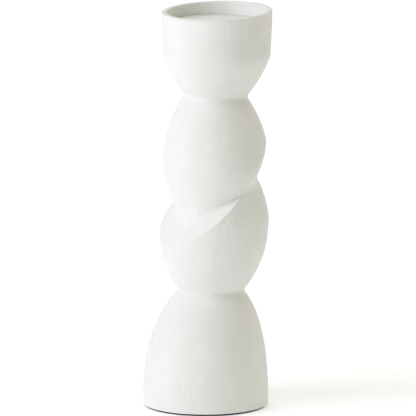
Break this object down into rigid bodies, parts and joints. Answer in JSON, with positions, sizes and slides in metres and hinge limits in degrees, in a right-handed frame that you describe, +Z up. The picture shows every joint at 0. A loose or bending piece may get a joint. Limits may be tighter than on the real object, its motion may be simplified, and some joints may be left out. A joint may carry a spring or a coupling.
{
  "type": "wooden candlestick",
  "caption": "Tall turned wooden candlestick for a pillar candle: domed base, egg-shaped bodies stacked on a tilted joint, and a shallow cup with a loose drip plate.",
  "frame": {"origin": "middle of the underside of the base pad, where the candlestick stands", "axes": "+Z up the stack towards the cup; -Y is the front, which shows the crescent ledge of the tilted joint; +X is to the right seen from the front, the side the stack leans to"},
  "size_m": [0.1027, 0.0996, 0.3183],
  "materials": {
    "painted_wood": "matte chalky white paint over turned hardwood",
    "beech": "bare fluted beech dowel",
    "felt": "dark pressed felt",
    "painted_steel": "satin white paint on thin steel"
  },
  "bodies": {
    "candlestick": {"base_felt_pad": "felt", "domed_base": "painted_wood", "lower_body": "painted_wood", "upper_body": "painted_wood", "candle_cup": "painted_wood", "base_joint_dowel": "beech", "tilted_joint_dowel": "beech", "tilted_joint_pin": "beech", "cup_joint_dowel": "beech"},
    "drip_plate": {"drip_plate": "painted_steel"}
  },
  "joints": [
    {"name": "plate_lift", "type": "slide", "parent": "candlestick", "child": "drip_plate", "axis": [0, 0, 1], "range_m": [0, 0.03]}
  ]
}
